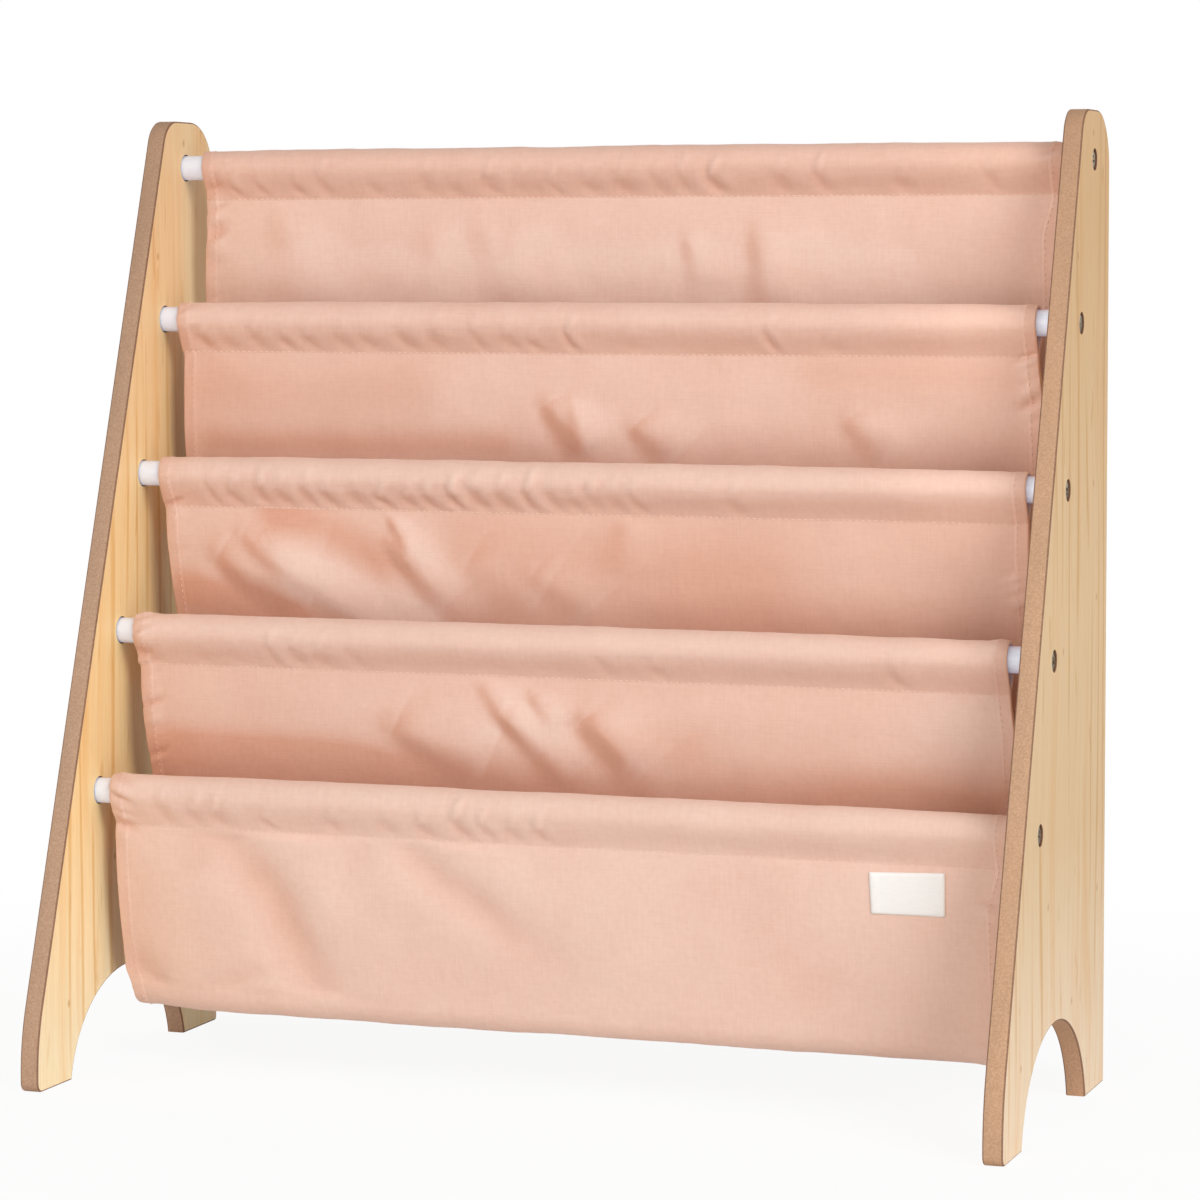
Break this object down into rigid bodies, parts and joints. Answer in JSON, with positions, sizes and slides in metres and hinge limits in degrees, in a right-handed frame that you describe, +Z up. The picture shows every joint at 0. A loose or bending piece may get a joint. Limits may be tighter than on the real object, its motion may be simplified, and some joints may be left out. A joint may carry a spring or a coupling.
{
  "type": "sling bookshelf",
  "caption": "Child's sling bookshelf: arched side boards joined by white rods that hold a cloth sling sewn into stepped book pockets.",
  "frame": {"origin": "on the floor, midway between the side boards and midway between their front and rear edges", "axes": "+X to the viewer's right along the rods, +Y to the rear, so the pockets face -Y, +Z up"},
  "size_m": [0.615, 0.266, 0.6],
  "materials": {
    "board": "pale straight-grain laminate on 12 mm fibreboard, with brown fibreboard edges",
    "rod": "white satin paint",
    "bolt": "plain zinc-plated steel",
    "insert": "plain machined",
    "cloth": "dusty peach plain-weave polyester with tone-on-tone stitching",
    "label": "bare cream woven cotton tape"
  },
  "bodies": {
    "root": {"side_panel_left": "board", "side_panel_right": "board", "rod_1": "rod", "rod_2": "rod", "rod_3": "rod", "rod_4": "rod", "rod_5": "rod", "bolt_left_1": "bolt", "bolt_left_2": "bolt", "bolt_left_3": "bolt", "bolt_left_4": "bolt", "bolt_left_5": "bolt", "bolt_right_1": "bolt", "bolt_right_2": "bolt", "bolt_right_3": "bolt", "bolt_right_4": "bolt", "bolt_right_5": "bolt", "insert_left_1": "insert", "insert_left_2": "insert", "insert_left_3": "insert", "insert_left_4": "insert", "insert_left_5": "insert", "insert_right_1": "insert", "insert_right_2": "insert", "insert_right_3": "insert", "insert_right_4": "insert", "insert_right_5": "insert", "sleeve_1": "cloth", "sleeve_2": "cloth", "sleeve_3": "cloth", "sleeve_4": "cloth", "sleeve_5": "cloth", "pocket_1": "cloth", "pocket_2": "cloth", "pocket_3": "cloth", "pocket_4": "cloth", "label": "label"}
  },
  "joints": []
}
